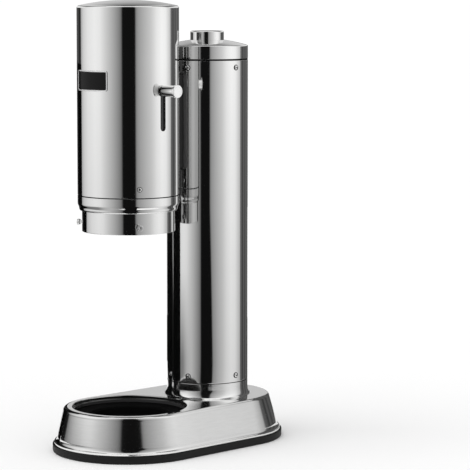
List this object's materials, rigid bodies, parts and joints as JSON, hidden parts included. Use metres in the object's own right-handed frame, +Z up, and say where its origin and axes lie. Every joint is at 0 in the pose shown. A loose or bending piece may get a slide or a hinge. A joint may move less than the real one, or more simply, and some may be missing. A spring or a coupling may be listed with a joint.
{
  "type": "sparkling water maker",
  "caption": "Countertop carbonator: a round head with a sliding shield and side lever, a gas column with a top button, and a stadium base with a stepped cup.",
  "frame": {"origin": "middle of the base on the surface it stands on", "axes": "+Z up, front towards -Y, lever on the +X side; the head axis is at -Y and the column axis at +Y"},
  "size_m": [0.1588, 0.2716, 0.4635],
  "materials": {
    "mirror_steel": "mirror-polished stainless steel",
    "plain_steel": "plain machined steel",
    "black_steel": "black finish on steel",
    "black_plastic": "fine matt moulding",
    "gloss_black": "gloss enamel",
    "black_rubber": "matt rubber",
    "brass": "turned",
    "cast_aluminium": "fine cast",
    "painted_cylinder": "satin lacquer",
    "clear_hose": "pale nylon"
  },
  "bodies": {
    "body": {"base_shell": "mirror_steel", "column_collar": "mirror_steel", "base_foot_ring": "black_rubber", "base_plate": "black_plastic", "base_plate_screw_1": "plain_steel", "base_plate_screw_2": "plain_steel", "base_plate_screw_3": "plain_steel", "base_plate_screw_4": "plain_steel", "base_plate_screw_5": "plain_steel", "base_plate_screw_6": "plain_steel", "drip_cup": "black_plastic", "column_tube": "mirror_steel", "column_lid": "mirror_steel", "column_lower_screw_1": "plain_steel", "column_lower_screw_2": "plain_steel", "column_lower_screw_3": "plain_steel", "column_lower_screw_4": "plain_steel", "column_lower_screw_5": "plain_steel", "column_upper_screw_1": "plain_steel", "column_upper_screw_2": "plain_steel", "column_upper_screw_3": "plain_steel", "column_upper_screw_4": "plain_steel", "column_upper_screw_5": "plain_steel", "gas_cylinder": "painted_cylinder", "cylinder_valve": "brass", "valve_block": "cast_aluminium", "cylinder_guide_ring": "black_plastic", "button_spring": "plain_steel", "neck_bracket": "black_steel", "head_shell": "mirror_steel", "head_lower_ring": "mirror_steel", "head_screw_1": "plain_steel", "head_screw_2": "plain_steel", "head_screw_3": "plain_steel", "badge_frame": "mirror_steel", "badge_field": "gloss_black", "lever_rail_1": "black_plastic", "lever_rail_2": "black_plastic", "gas_pipe": "plain_steel", "hose_fitting": "brass", "gas_hose": "clear_hose"},
    "chamber": {"shield_tube": "mirror_steel", "shield_stud_1": "plain_steel", "shield_stud_2": "plain_steel", "shield_stud_3": "plain_steel", "guide_shoe_1": "black_plastic", "guide_shoe_2": "black_plastic", "guide_shoe_3": "black_plastic", "chamber_cap": "cast_aluminium", "nozzle_block": "black_plastic", "nozzle_seal": "black_rubber", "nozzle_tube": "plain_steel", "relief_valve": "brass"},
    "lever": {"lever_knob": "mirror_steel", "lever_slide": "black_plastic"},
    "button": {"button_cap": "mirror_steel", "button_rod": "plain_steel"}
  },
  "joints": [
    {"name": "chamber_slide", "type": "slide", "parent": "body", "child": "chamber", "axis": [0, 0, -1], "range_m": [0, 0.185], "deforming": ["gas_hose"]},
    {"name": "lever_slide", "type": "slide", "parent": "body", "child": "lever", "axis": [0, 0, -1], "range_m": [0, 0.0365]},
    {"name": "button_press", "type": "slide", "parent": "body", "child": "button", "axis": [0, 0, -1], "range_m": [0, 0.004], "stiffness_N_per_m": 1200, "springref_m": -0.003, "deforming": ["button_spring"]}
  ]
}
